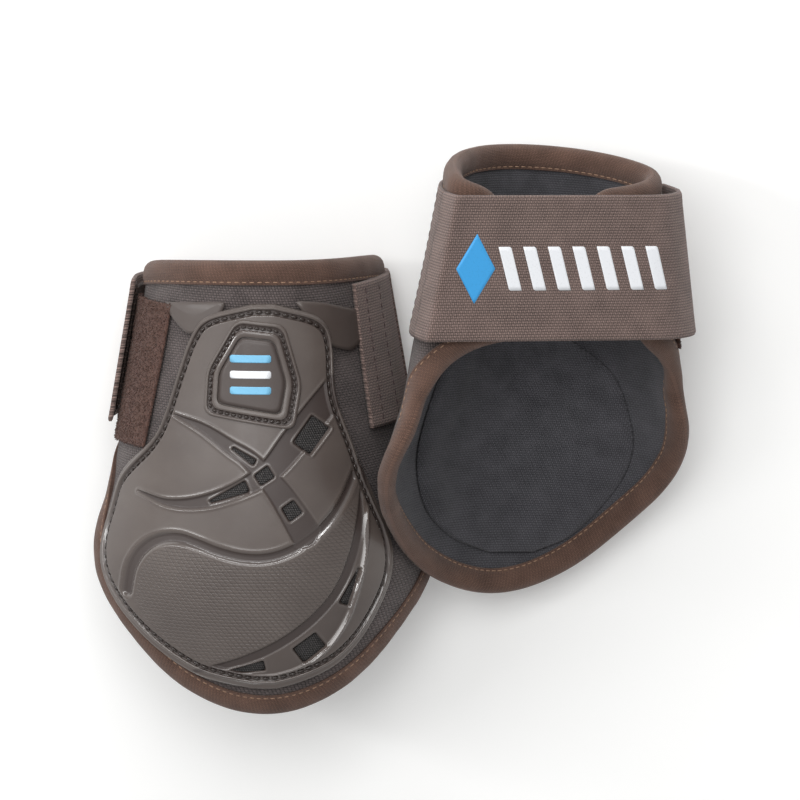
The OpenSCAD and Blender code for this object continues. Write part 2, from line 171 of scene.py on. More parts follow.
def run_of(points):
    """Length along a line of points, at each of them."""
    return np.concatenate([[0], np.cumsum(np.linalg.norm(np.diff(points, axis=0), axis=1))])


def unit(v):
    return v / np.maximum(np.linalg.norm(v, axis=-1, keepdims=True), 1e-9)


def out_of_wall(phi, y):
    """The wall's true outward direction, from its slopes round and up the leg."""
    round_leg = wall(np.asarray(phi) + 0.4, y, 0) - wall(np.asarray(phi) - 0.4, y, 0)
    up_leg = wall(phi, np.asarray(y) + 0.4, 0) - wall(phi, np.asarray(y) - 0.4, 0)
    return unit(np.cross(round_leg, up_leg))


def wall_speed(y, phi):
    """Length of wall for a degree round the leg."""
    return np.hypot(half_w(y, phi) * cos_d(phi), wall_depth(y, phi) * sin_d(phi)) * math.pi / 180


def rim_y(phi):
    return RIM_CLIMB * curve(RIM_MIX, np.abs(phi))


def low_y(phi, margin):
    slope = (rim_y(phi + 2) - rim_y(phi - 2)) / (4 * wall_speed(rim_y(phi), phi))
    return rim_y(phi) + margin * np.hypot(1, slope)


def top_y(phi, margin):
    return BOOT_H - COLLAR_DROP * (1 - cos_d(phi)) / 2 - margin


def free_angle(side, v, margin):
    """Angle of a flank's free edge, which runs aslant behind the leg."""
    edge = mix(202, 140, v) if side > 0 else mix(-142, -174, v)
    return edge - side * margin / wall_speed(118, 180)


def strap_half(y, side):
    low = half_w(STRAP_LOW, side * 90)
    high = half_w(STRAP_HIGH, side * 90)
    return mix(low, high, (y - STRAP_LOW) / STRAP_W)


def strap_at(phi, y, off, t):
    """A place on the strap: off from the wall at the sides, t out of its inner face."""
    phi, y, off, t = alike(phi, y, off, t)
    side = np.where(sin_d(phi) > 0, 1, -1)
    c = np.abs(cos_d(phi)) ** 0.62
    back = STRAP_DEPTH + t
    side_z = 1.22 * c * back + set_back(phi, y)
    soft = np.maximum(0, 3 - np.abs(back - side_z)) ** 2 / 12
    z = np.sign(cos_d(phi)) * (np.minimum(back, side_z) - soft)
    half = np.where(side > 0, strap_half(y, 1), strap_half(y, -1))
    return np.stack([(half + off + t) * sin_d(phi), y, z], -1)


def on_shell(x, y, h):
    """The place above (x, y) in plan, h out of the shell's face."""
    x, y, h = alike(x, y, h)
    d = SHELL_OUT + h
    share = np.clip(x / (half_w(y, np.where(x > 0, 90, -90)) + d), -1, 1)
    return wall(np.degrees(np.arcsin(share)), y, d)


def round_leg_mm(phi):
    """Length of wall from the middle of the shell to an angle, at the cup's height."""
    angles = np.arange(-180, 216)
    steps = wall_speed(90, angles + 0.5)
    run = np.concatenate([[0], np.cumsum(steps)[:-1]])
    return np.interp(phi, angles, run - np.interp(0, angles, run))


def wall_uv(phi, y):
    """UVs in millimetres for the outer and inner grid of a solid on the wall."""
    uv = np.stack([round_leg_mm(phi), y], -1).reshape(-1, 2)
    return np.concatenate([uv, uv])


# ---- outlines in plan

def corner_arc(a, corner, b, t):
    return (1 - t) ** 2 * a + 2 * t * (1 - t) * corner + t * t * b


def rounded(points, radius, per_corner=5):
    """A closed outline with its corners rounded."""
    points = np.asarray(points, float)
    out = []
    for before, corner, after in zip(np.roll(points, 1, 0), points, np.roll(points, -1, 0)):
        back, on = before - corner, after - corner
        reach = min(radius, 0.45 * np.hypot(*back), 0.45 * np.hypot(*on))
        a, b = corner + unit(back) * reach, corner + unit(on) * reach
        for t in np.linspace(0, 1, per_corner):
            out.append(corner_arc(a, corner, b, t))
    return np.array(out)


def even(points, count, closed=False):
    """count places spread evenly along a line of points."""
    points = np.asarray(points, float)
    if closed:
        points = np.concatenate([points, points[:1]])
    run = run_of(points)
    at = np.linspace(0, run[-1], count, endpoint=not closed)
    return np.stack([np.interp(at, run, column) for column in points.T], -1)


def round_loop(points):
    """The direction along a closed line of points."""
    return unit(np.roll(points, -1, 0) - np.roll(points, 1, 0))


def smooth_line(stations):
    """A dense smooth line through stations, all their columns alike."""
    stations = np.asarray(stations, float)
    t = np.arange(len(stations))
    at = np.linspace(0, len(stations) - 1, LINE_STEPS)
    return np.stack([curve(np.stack([t, column], -1), at) for column in stations.T], -1)


def line_gap(line, x, y):
    """Distance from a line of [x, y, half width], less its half width: below 0 is inside."""
    best = np.full(np.shape(x), 1e3)
    for (ax, ay, aw), (bx, by, bw) in zip(line[:-1], line[1:]):
        dx, dy = bx - ax, by - ay
        t = np.clip(((x - ax) * dx + (y - ay) * dy) / (dx * dx + dy * dy), 0, 1)
        gap = np.hypot(x - ax - t * dx, y - ay - t * dy) - (aw + (bw - aw) * t)
        best = np.minimum(best, gap)
    return best


def area_gap(outline, x, y):
    """Distance from a closed outline: below 0 is inside."""
    best = np.full(np.shape(x), 1e3)
    inside = np.zeros(np.shape(x), bool)
    for (ax, ay), (bx, by) in zip(outline, np.roll(outline, -1, 0)):
        dx, dy = bx - ax, by - ay
        t = np.clip(((x - ax) * dx + (y - ay) * dy) / (dx * dx + dy * dy + 1e-9), 0, 1)
        best = np.minimum(best, np.hypot(x - ax - t * dx, y - ay - t * dy))
        crosses = ((ay > y) != (by > y)) & (x < ax + (y - ay) * dx / (dy if dy else 1e-9))
        inside ^= crosses
    return np.where(inside, -best, best)


# ---- meshes

def grid_faces(rows, cols):
    ids = np.arange(rows * cols).reshape(rows, cols)
    return np.stack([ids[:-1, :-1], ids[:-1, 1:], ids[1:, 1:], ids[1:, :-1]], -1).reshape(-1, 4)


def sheet(outer, inner):
    """Points and faces of a closed solid between two grids of points."""
    rows, cols = outer.shape[:2]
    count = rows * cols
    ids = np.arange(count).reshape(rows, cols)
    top = grid_faces(rows, cols)
    edge = np.concatenate([ids[0], ids[1:, -1], ids[-1, -2::-1], ids[-2:0:-1, 0]])
    after = np.roll(edge, -1)
    side = np.stack([edge, edge + count, after + count, after], -1)
    points = np.concatenate([outer.reshape(-1, 3), inner.reshape(-1, 3)])
    return points, top.tolist() + (top[:, ::-1] + count).tolist() + side.tolist()


def slab(outline, place, h_in, h_out, rings, crown=0):
    """A closed thin solid over a star-shaped outline, laid by place(x, y, h)."""
    outline = np.asarray(outline, float)
    middle = outline.mean(0)
    n = len(outline)
    shares = np.linspace(0, 1, rings + 1)[1:]
    plan = np.concatenate([middle[None]] + [middle + (outline - middle) * s for s in shares])
    lift = np.concatenate([[1], np.repeat(1 - shares ** 4, n)]) * crown
    top = place(plan[:, 0], plan[:, 1], h_out + lift)
    under = place(plan[:, 0], plan[:, 1], np.full(len(plan), float(h_in)))
    count = len(plan)
    faces = [[0, 1 + k, 1 + (k + 1) % n] for k in range(n)]
    for r in range(rings - 1):
        a = 1 + r * n
        faces += [[a + k, a + n + k, a + n + (k + 1) % n, a + (k + 1) % n] for k in range(n)]
    last = 1 + (rings - 1) * n
    faces += [[i + count for i in f[::-1]] for f in faces]
    faces += [[last + (k + 1) % n, last + k, last + k + count, last + (k + 1) % n + count]
              for k in range(n)]
    return np.concatenate([top, under]), faces


def sweep(frames, section):
    """A closed tube: section [across, out] carried along frames."""
    centre, across, out = frames
    section = np.asarray(section, float)
    if section.ndim == 2:
        section = np.broadcast_to(section, (len(centre),) + section.shape)
    points = (centre[:, None] + across[:, None] * section[..., :1]
              + out[:, None] * section[..., 1:2])
    n, k = section.shape[:2]
    faces = []
    for i in range(n - 1):
        a = i * k
        faces += [[a + j, a + (j + 1) % k, a + k + (j + 1) % k, a + k + j] for j in range(k)]
    faces += [list(range(k))[::-1], [(n - 1) * k + j for j in range(k)]]
    return points.reshape(-1, 3), faces


def dashes(spots, along, out, length, width, height):
    """Stitches: a small rounded bar at each spot."""
    across = unit(np.cross(out, along))
    out = np.cross(along, across)
    ring = np.radians(np.arange(6) * 60 + 30)
    steps = [(-0.5, 0.3), (-0.38, 0.9), (0, 1), (0.38, 0.9), (0.5, 0.3)]
    points, faces = [], []
    for p, a, c, o in zip(spots, along, across, out):
        first = len(points)
        for t, r in steps:
            for angle in ring:
                points.append(p + a * t * length + c * math.cos(angle) * width / 2 * r
                              + o * (math.sin(angle) * height / 2 * r - abs(t) * height * 0.5))
        for s in range(len(steps) - 1):
            b = first + s * 6
            faces += [[b + j, b + (j + 1) % 6, b + 6 + (j + 1) % 6, b + 6 + j] for j in range(6)]
        faces += [[first + j for j in range(6)][::-1], [first + 24 + j for j in range(6)]]
    return np.array(points), faces


def joined(*solids):
    """Several (points, faces) as one."""
    points, faces, start = [], [], 0
    for p, f in solids:
        points.append(p)
        faces += [[i + start for i in face] for face in f]
        start += len(p)
    return np.concatenate(points), faces


def make_mesh(name, solid, looks, uv=None, marks=None, second=None):
    """A mesh from (points, faces). uv is in millimetres; second marks faces of the second look."""
    points, faces = solid
    mesh = bpy.data.meshes.new(name)
    mesh.from_pydata((np.asarray(points) * MM).tolist(), [], faces)
    mesh.polygons.foreach_set("use_smooth", [True] * len(faces))
    if uv is not None:
        layer = mesh.uv_layers.new(name="mm")
        at = np.empty(len(mesh.loops), np.int32)
        mesh.loops.foreach_get("vertex_index", at)
        layer.data.foreach_set("uv", np.asarray(uv, np.float32)[at].ravel())
    for mark, values in (marks or {}).items():
        layer = mesh.attributes.new(mark, "FLOAT", "POINT")
        layer.data.foreach_set("value", np.asarray(values, np.float32).ravel())
    for look in looks:
        mesh.materials.append(look)
    if second is not None:
        mesh.polygons.foreach_set("material_index", np.asarray(second, np.int32))
    mesh.update()
    return mesh


def new_object(name, data):
    """An object made and put in the scene."""
    thing = bpy.data.objects.new(name, data)
    bpy.context.scene.collection.objects.link(thing)
    return thing


# ---- places of the two boots

def patch_grid(rows, cols, left, right, d, spread=1.0):
    """Places on the wall between two edges given as [height, angle]."""
    i = np.arange(rows + 1) / rows
    y = mix(left[0][0], left[-1][0], mix(i, (1 - cos_d(180 * i)) / 2, spread))[:, None]
    phi = mix(curve(left, y), curve(right, y), np.arange(cols + 1) / cols)
    return phi, y + 0 * phi, wall(phi, y, d)


def eased(stations):
    """The same edge as dense stations with its kinks smoothed away."""
    low, high = stations[0][0], stations[-1][0]
    y = mix(low, high, (1 - cos_d(180 * np.arange(401) / 400)) / 2)
    phi = curve(stations, y)
    smoothed((y, phi), 90)
    return np.stack([y, phi], -1)


def place_of(side):
    """The matrix that carries a boot drawn in its own frame to its place in the row."""
    turn = Matrix.Identity(4)
    if side == "right":
        turn = (Matrix.Rotation(math.radians(TURN), 4, "Z")
                @ Matrix.Rotation(math.radians(LEAN), 4, "Y") @ Matrix.Rotation(math.pi, 4, "Y"))
    grids = [patch_grid(26, 20, SHELL_LEFT, SHELL_RIGHT, d)[2].reshape(-1, 3)
             for d in (SHELL_IN, SHELL_OUT)]
    points = np.concatenate(grids) * MM @ np.array(turn)[:3, :3].T
    low, high = (np.array(v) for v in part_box(f"{side}_shell"))
    move = (low + high) / 2 - (points.min(0) + points.max(0)) / 2
    return Matrix.Translation(Vector(move)) @ turn


SIDES = ("left", "right")
PLACE = {side: place_of(side) for side in SIDES}
SHELL_LEFT, SHELL_RIGHT = eased(SHELL_LEFT), eased(SHELL_RIGHT)


def add_piece(name, mesh, body, nodes):
    """The same piece on both boots, standing for its CAD nodes."""
    for side in SIDES:
        own = mesh.copy()
        own.transform(PLACE[side])
        piece = new_object(f"{side}_{name}", own)
        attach(piece, f"{side}_{body}")
        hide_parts(*[f"{side}_{node}" for node in nodes])


# ---- materials

def srgb(r, g, b):
    """Linear colour from screen values of 0 to 255."""
    c = np.array([r, g, b]) / 255
    return (*np.where(c <= 0.04045, c / 12.92, ((c + 0.055) / 1.055) ** 2.4).tolist(), 1.0)


class Look:
    """A material put together from nodes."""

    def __init__(self, name, coords="mm"):
        self.material = bpy.data.materials.new(name)
        self.material.use_nodes = True
        self.tree = self.material.node_tree
        self.bsdf = self.tree.nodes["Principled BSDF"]
        if coords == "mm":
            self.at = self.add("ShaderNodeUVMap", uv_map="mm").outputs["UV"]
        else:
            place = self.add("ShaderNodeTexCoord").outputs["Object"]
            scaled = self.add("ShaderNodeVectorMath", operation="SCALE")
            self.plug(place, scaled.inputs[0])
            scaled.inputs["Scale"].default_value = 1 / MM
            self.at = scaled.outputs[0]
        split = self.add("ShaderNodeSeparateXYZ")
        self.plug(self.at, split.inputs[0])
        self.u, self.v, self.w = split.outputs

    def add(self, kind, **settings):
        node = self.tree.nodes.new(kind)
        for key, value in settings.items():
            setattr(node, key, value)
        return node

    def plug(self, value, socket):
        if isinstance(value, bpy.types.NodeSocket):
            self.tree.links.new(value, socket)
        else:
            socket.default_value = value

    def math(self, operation, *values):
        node = self.add("ShaderNodeMath", operation=operation)
        for value, socket in zip(values, node.inputs):
            self.plug(value, socket)
        return node.outputs[0]

    def mark(self, name):
        return self.add("ShaderNodeAttribute", attribute_name=name).outputs["Fac"]

    def noise(self, size, detail=3.0, rough=0.55):
        """Noise of 0 to 1 whose blobs are about size millimetres."""
        node = self.add("ShaderNodeTexNoise")
        self.plug(self.at, node.inputs["Vector"])
        node.inputs["Scale"].default_value = 1 / size
        node.inputs["Detail"].default_value = detail
        node.inputs["Roughness"].default_value = rough
        return node.outputs["Fac"]

    def fit(self, value, low=0.3, high=0.7, to_low=0.0, to_high=1.0):
        node = self.add("ShaderNodeMapRange")
        for socket, v in zip(node.inputs, (value, low, high, to_low, to_high)):
            self.plug(v, socket)
        return node.outputs[0]

    def blend(self, share, a, b):
        node = self.add("ShaderNodeMix", data_type="RGBA")
        self.plug(share, node.inputs["Factor"])
        self.plug(a, node.inputs["A"])
        self.plug(b, node.inputs["B"])
        return node.outputs["Result"]

    def threads(self, pitch_u, pitch_v, skew=0.0):
        """Crossing threads: signed humps, above 0 where one set is on top."""
        along = self.math("MULTIPLY_ADD", self.v, skew, self.u)
        a = self.math("SINE", self.math("MULTIPLY", along, math.pi / pitch_u))
        b = self.math("SINE", self.math("MULTIPLY", self.v, math.pi / pitch_v))
        return self.math("MULTIPLY", a, b)

    def bump(self, height, millimetres, below=None):
        node = self.add("ShaderNodeBump")
        self.plug(height, node.inputs["Height"])
        node.inputs["Distance"].default_value = millimetres * MM
        if below is not None:
            self.plug(below, node.inputs["Normal"])
        return node.outputs["Normal"]

    def done(self, colour, rough, normal, **extra):
        self.plug(colour, self.bsdf.inputs["Base Color"])
        self.plug(rough, self.bsdf.inputs["Roughness"])
        self.plug(normal, self.bsdf.inputs["Normal"])
        for key, value in extra.items():
            self.plug(value, self.bsdf.inputs[key.replace("_", " ")])
        return self.material


def woven_look(name, light, dark, pitch, rough, skew, depth, blotch=0.25):
    """Cloth: crossing threads, uneven dye and fine fuzz."""
    k = Look(name)
    humps = k.threads(pitch[0], pitch[1], skew)
    high = k.math("POWER", k.math("ABSOLUTE", humps), 0.6)
    uneven = k.noise(9, 4)
    fuzz = k.noise(0.35, 2)
    shade = k.math("MULTIPLY_ADD", k.fit(uneven), blotch,
                   k.math("MULTIPLY", high, 0.62 - blotch / 2))
    shade = k.math("ADD", shade, k.fit(fuzz, 0.3, 0.7, -0.12, 0.25))
    shade = k.math("ADD", shade, k.fit(humps, -0.2, 0.2, -0.06, 0.08))
    colour = k.blend(shade, dark, light)
    normal = k.bump(fuzz, depth * 0.35, k.bump(high, depth))
    return k.done(colour, k.fit(fuzz, 0.3, 0.7, rough - 0.08, min(1.0, rough + 0.08)), normal,
                  Sheen_Weight=0.15, Sheen_Roughness=0.5, Specular_IOR_Level=0.25)


def rubber_look():
    """Moulded rubber: fine grain, dome scales, rougher grooves, glossy lips; painted shade in
    grooves and between scales.
    """
    k = Look("moulded_rubber")
    floor, dome, gloss = k.mark("floor"), k.mark("dome"), k.mark("gloss")
    cloud, scuff = k.noise(22), k.noise(3.5, 5, 0.7)
    grain = k.math("MULTIPLY", k.noise(0.25, 2), k.fit(gloss, 0, 0.5, 1, 0))
    scales = k.fit(k.math("ABSOLUTE", k.threads(1.5, 1.15, 0.65)), 0.05, 0.4)
    scaled_dome = k.math("MULTIPLY", dome, k.fit(gloss, 0, 0.4, 1, 0))
    # Painted shade: between marks the low lines between the dome's scales, which are darkened
    # below towards srgb(58, 52, 49).
    between = k.math("MULTIPLY", k.math("SUBTRACT", 1, scales), k.math("MULTIPLY", scaled_dome, 0.4))
    face = k.blend(k.fit(cloud), srgb(83, 74, 70), srgb(95, 86, 81))
    face = k.blend(k.fit(scuff, 0.6, 0.85, 0, 0.3), face, srgb(112, 105, 101))
    face = k.blend(between, face, srgb(58, 52, 49))
    # Painted shade: the sunk floors of the grooves, the sewn channel, the window wells and the
    # sunk zone, marked as floor, are darkened towards srgb(62, 52, 49); the same mark also gives
    # the raised badge face and the lugs a darker tone.
    face = k.blend(k.math("MULTIPLY", floor, 0.95), face, srgb(62, 52, 49))
    rough = k.math("MULTIPLY_ADD", floor, 0.12, k.fit(scuff, 0.3, 0.8, 0.32, 0.46))
    rough = k.math("MULTIPLY", rough, k.fit(gloss, 0, 1, 1, 0.3))
    normal = k.bump(grain, 0.02, k.bump(k.math("MULTIPLY", scales, scaled_dome), 0.09))
    return k.done(face, rough, normal, Specular_IOR_Level=0.6,
                  Coat_Weight=k.fit(gloss, 0, 1, 0.05, 1), Coat_Roughness=0.08)


def pile_look():
    """Brushed pile: tufts of mixed brown."""
    k = Look("brushed_pile")
    tuft = k.noise(0.45, 4, 0.7)
    patch = k.noise(7)
    colour = k.blend(k.fit(tuft, 0.32, 0.68), srgb(52, 36, 31), srgb(112, 82, 73))
    colour = k.blend(k.fit(patch, 0.35, 0.75, 0, 0.35), colour, srgb(88, 64, 51))
    return k.done(colour, k.fit(tuft, 0.3, 0.7, 0.85, 1), k.bump(tuft, 0.35),
                  Sheen_Weight=0.12, Sheen_Roughness=0.6, Specular_IOR_Level=0.1)


def hooks_look():
    """Rows of small moulded hooks."""
    k = Look("hook_rows")
    humps = k.threads(0.9, 0.9)
    high = k.fit(humps, 0.25, 0.7)
    colour = k.blend(k.math("MULTIPLY_ADD", k.noise(6), 0.3, k.math("MULTIPLY", high, 0.6)),
                     srgb(44, 35, 32), srgb(98, 80, 72))
    return k.done(colour, k.fit(k.noise(2), 0.3, 0.7, 0.4, 0.6), k.bump(high, 0.4))


def thread_look(name, colour, rough=0.45):
    """Twisted thread."""
    k = Look(name, "Object")
    strand = k.noise(0.3, 2)
    shade = k.blend(k.fit(strand), tuple(c * 0.55 for c in colour[:3]) + (1.0,), colour)
    return k.done(shade, k.fit(strand, 0.3, 0.7, rough, rough + 0.2), k.bump(strand, 0.08))


def print_look(name, colour):
    """Printed ink with a little wear over the threads under it."""
    k = Look(name, "Object")
    wear = k.noise(0.7, 4, 0.7)
    worn = tuple(c * 0.72 for c in colour[:3]) + (1.0,)
    shade = k.blend(k.fit(wear, 0.55, 0.8, 0, 0.7), colour, worn)
    return k.done(shade, k.fit(wear, 0.3, 0.7, 0.4, 0.6), k.bump(wear, 0.03))


def net_look():
    """Open spacer net with a sparkle of gloss between its strands."""
    k = Look("spacer_net", "Object")
    strands = k.math("POWER", k.math("ABSOLUTE", k.threads(0.75, 0.75, 0.5)), 0.7)
    speck = k.noise(0.6)
    colour = k.blend(k.math("MULTIPLY", strands, k.fit(speck)),
                     srgb(26, 25, 26), srgb(92, 88, 86))
    return k.done(colour, k.fit(speck, 0.3, 0.7, 0.35, 0.8), k.bump(strands, 0.3))


RUBBER = rubber_look()
PILE = pile_look()
HOOKS = hooks_look()
NET = net_look()
TAPE = woven_look("binding_tape", srgb(128, 98, 84), srgb(36, 24, 20), (0.55, 0.5), 0.8, 0.8,
                  0.12)
WEBBING = woven_look("elastic_webbing", srgb(166, 142, 134), srgb(24, 17, 15), (0.7, 0.9), 0.82,
                     0.35, 0.26, blotch=0.14)
OUTER_CLOTH = woven_look("basket_weave", srgb(116, 105, 103), srgb(20, 17, 17), (1.15, 0.85), 0.75,
                         0.4, 0.28)
INNER_CLOTH = woven_look("soft_jersey", srgb(98, 97, 102), srgb(32, 32, 35), (0.6, 0.8), 0.92,
                         0.3, 0.16)
TAPE_THREAD = thread_look("tape_thread", srgb(168, 134, 108))
DARK_THREAD = thread_look("dark_thread", srgb(60, 51, 47), 0.08)
BROWN_THREAD = thread_look("brown_thread", srgb(74, 58, 52))
BLUE_INK = print_look("blue_ink", srgb(58, 160, 224))
PALE_BLUE_INK = print_look("pale_blue_ink", srgb(122, 190, 226))
WHITE_INK = print_look("white_ink", srgb(236, 238, 242))


# ---- moulded shell

# Centre lines of the shell's relief as [x, y, half width]
BAND_UP = smooth_line([[-41.7, 74.6, 0.3], [-31.7, 72.3, 1.2], [-20.3, 73.6, 2.0],
                       [-8.3, 78, 2.7], [2, 84.4, 3.7], [10, 93.5, 4.5], [18, 103, 4.7],
                       [25.3, 111, 4.8]])
BAND_DOWN = smooth_line([[-29.7, 101.3, 0.3], [-20, 97.6, 1.5], [-11.3, 92.2, 2.3],
                         [-4.3, 87.8, 2.8], [4, 79, 3.7], [9.3, 71.2, 4.3], [13.7, 63.8, 4.8]])
S_GROOVE = smooth_line([[-46, 41.5, 1.7], [-44.3, 50, 1.8], [-40.3, 56.4, 1.8],
                        [-34.7, 60.1, 1.8], [-28.3, 61.1, 1.8], [-22.3, 59.8, 1.7],
                        [-15, 57.4, 1.7], [-6.7, 55.7, 1.7], [1, 55.7, 1.7], [8.3, 57.7, 1.7],
                        [15, 61.5, 1.7], [21, 66.5, 1.5], [25.7, 72.6, 1.3], [29.3, 80, 1.2],
                        [32, 87.4, 0.8]])
CRESCENT = smooth_line([[32, 88.1, 0.5], [33, 76.6, 1.2], [32.3, 66.5, 1.5], [29.7, 54.7, 1.7],
                        [24.7, 43.6, 1.7], [16.7, 34.5, 1.7], [6.7, 27, 1.7],
                        [-4.3, 21.3, 1.7], [-14.3, 17.9, 1.3], [-23.3, 15.9, 0.7]])
BEAD = smooth_line([[31.3, 83.4, 0.3], [33.7, 69.9, 0.7], [33.7, 58.1, 0.7], [32, 48, 0.7],
                    [28, 34.8, 0.7], [21, 24.3, 0.7], [11.7, 17.3, 0.8], [1.3, 13.9, 1],
                    [-8.3, 12.2, 1], [-18.3, 13.5, 0.8], [-30, 16.2, 0.3]])
SUNK_ZONE = np.concatenate([CRESCENT[8:, :2], BEAD[::-1][2:-8, :2]])
DOME = np.concatenate([S_GROOVE[:60, :2], CRESCENT[10:, :2], [[-32, 22], [-42, 32]]])

# Vent windows as [x, y, length, width at one end, width at the other, turn]
WINDOWS = [[16, 95.5, 10.8, 7.4, 7.8, 52], [0.3, 82.7, 5.6, 4.2, 4.6, 34],
           [9.5, 71.1, 5.4, 5.0, 5.4, -56], [-11.7, 76.5, 14, 0.9, 4.2, 24],
           [-6.6, 89.3, 9, 1.0, 2.4, -32], [29.2, 44.5, 13, 3.8, 0.9, 66],
           [15.2, 24.6, 9.6, 6.6, 6.4, 36], [-6.6, 17.2, 14, 0.9, 3.8, 12]]


def window_outline(x, y, length, start, end, turn, grow=0.0):
    half = length / 2 + grow
    corners = np.array([[-half, -start / 2 - grow], [half, -end / 2 - grow],
                        [half, end / 2 + grow], [-half, start / 2 + grow]])
    c, s = cos_d(turn), sin_d(turn)
    return rounded(corners @ np.array([[c, s], [-s, c]]) + [x, y], 0.7, 4)


def edge_gap(points, outline):
    """Distance of each point of a grid from a line of points."""
    gaps = [np.sqrt(((row[:, None] - outline[None]) ** 2).sum(-1).min(1)) for row in points]
    return np.array(gaps)


def step(gap, out, inside):
    """1 within a groove and 0 outside it, falling between the two gaps."""
    return 1 - smoothstep(inside, out, gap)


def shell_outline():
    count = 500
    y = mix(SHELL_LOW, SHELL_HIGH, (1 - cos_d(180 * np.arange(count + 1) / count)) / 2)
    left, right = curve(SHELL_LEFT, y), curve(SHELL_RIGHT, y)
    phi = np.concatenate([left, np.linspace(left[-1], right[-1], 20), right[::-1],
                          np.linspace(right[0], left[0], 20)])
    height = np.concatenate([y, np.full(20, y[-1]), y[::-1], np.full(20, y[0])])
    return phi, height


def channel_inset(y):
    """How far the sewn channel runs in from the shell's edge."""
    return mix(CHANNEL_WIDE, CHANNEL_NARROW, smoothstep(72, 94, y))


def shell_relief(x, y, edge):
    """Height of the shell's face above its plain wall, and its grooves, dome and gloss."""
    channel_at = channel_inset(y)
    channel = step(np.abs(edge - channel_at), 1.1, 0.7)
    up, down, s = (line_gap(line, x, y) for line in (BAND_UP, BAND_DOWN, S_GROOVE))
    crescent, bead = line_gap(CRESCENT, x, y), line_gap(BEAD, x, y)
    zone = area_gap(SUNK_ZONE, x, y)
    band = np.maximum(step(up, 0.3, -0.35), step(down, 0.3, -0.35))
    groove = np.maximum(step(s, 0.5, -1.0), step(crescent, 0.35, -0.5))
    sunk = np.maximum.reduce([0.8 * band, groove, 0.55 * step(zone, 0.3, -0.3)])
    windows = np.min([area_gap(window_outline(*w), x, y) for w in WINDOWS], 0)
    well = step(windows, 0.15, -0.35)
    rim = np.exp(-((windows - 0.6) / 0.33) ** 2)
    lips = np.maximum(np.exp(-((np.minimum(up, down) - 0.7) / 0.38) ** 2),
                      0.8 * np.exp(-((s - 1.0) / 0.45) ** 2))
    ridge = np.exp(-(np.maximum(bead + 0.5, 0) / 0.55) ** 2)
    inner = smoothstep(channel_at + 1.0, channel_at + 2.2, edge)
    height = (-(sunk + 0.16 * rim * (sunk > 0.3)) * inner + LIP_H * lips * inner * (1 - band)
              + WINDOW_RIM_H * rim * inner - WELL_DEPTH * well * inner + RIDGE_H * ridge * inner)
    height -= CHANNEL_DEPTH * channel
    height += 0.22 * np.exp(-((edge - channel_at + 1.6) / 0.55) ** 2)
    height -= 0.35 * step(edge, channel_at - 1.5, channel_at - 2.1)
    height = np.maximum(height, 0.25 - SHELL_T)
    height -= 1.15 * (1 - np.sqrt(1 - (1 - np.clip(edge / 1.1, 0, 1)) ** 2))
    # floor marks the sunk floors that the rubber look darkens with painted shade.
    floor = np.clip(np.maximum.reduce([band, groove, 0.8 * channel, well]), 0, 1)
    floor = np.maximum(floor * (1 - 0.8 * rim), 0.35 * step(zone, 0.3, -0.3))
    gloss = np.clip(ridge + 0.9 * np.exp(-((s + 0.2) / 0.5) ** 2) + 0.6 * lips + 0.7 * rim
                    + 0.7 * np.exp(-((np.abs(edge - channel_at) - 0.95) / 0.3) ** 2), 0, 1)
    dome = step(area_gap(DOME, x, y), 0, -3) * inner
    return height, floor * (1 - ridge), dome, gloss


def flange(points):
    """A thin moulded lug that spreads from the shell's edge over the liner."""
    return slab(rounded(points, 2.5), on_shell, LUG_IN, LUG_IN + LUG_T, 6)


def moulded_shell():
    rows, cols = ((480, 350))
    phi, y, plain = patch_grid(rows, cols, SHELL_LEFT, SHELL_RIGHT, SHELL_OUT, 0.5)
    outline = wall(*shell_outline(), SHELL_OUT)
    edge = edge_gap(plain, outline)
    height, floor, dome, gloss = shell_relief(plain[..., 0], y, edge)
    body = sheet(wall(phi, y, SHELL_OUT + height), wall(phi, y, SHELL_IN))
    left = flange([[-34, 137.4], [-12, 139.5], [-16, 132], [-25, 127.5], [-29.5, 131.5]])
    right = flange([[10, 140], [20, 138.5], [33, 133.5], [33.5, 126], [29.5, 121], [22, 124]])
    solid = joined(body, left, right)
    lugs = np.concatenate([left[0], right[0]])[:, :2]
    uv = np.concatenate([wall_uv(phi, y), lugs])

    def spread(values, on_lugs=0.0):
        return np.concatenate([values.ravel(), values.ravel() * 0, np.full(len(lugs), on_lugs)])

    mesh = make_mesh("moulded_shell", solid, [RUBBER], uv,
                     {"floor": spread(floor, 0.4), "dome": spread(dome), "gloss": spread(gloss)})
    add_piece("moulded_shell", mesh, "boot", ["shell"])
    nets = [slab(even(window_outline(*w, grow=-0.12), 24, True), on_shell, -1.75, -1.3, 4)
            for w in WINDOWS]
    mesh = make_mesh("vent_net", joined(*nets), [NET])
    add_piece("vent_net", mesh, "boot", ["vent_mesh"])
    sew_shell()


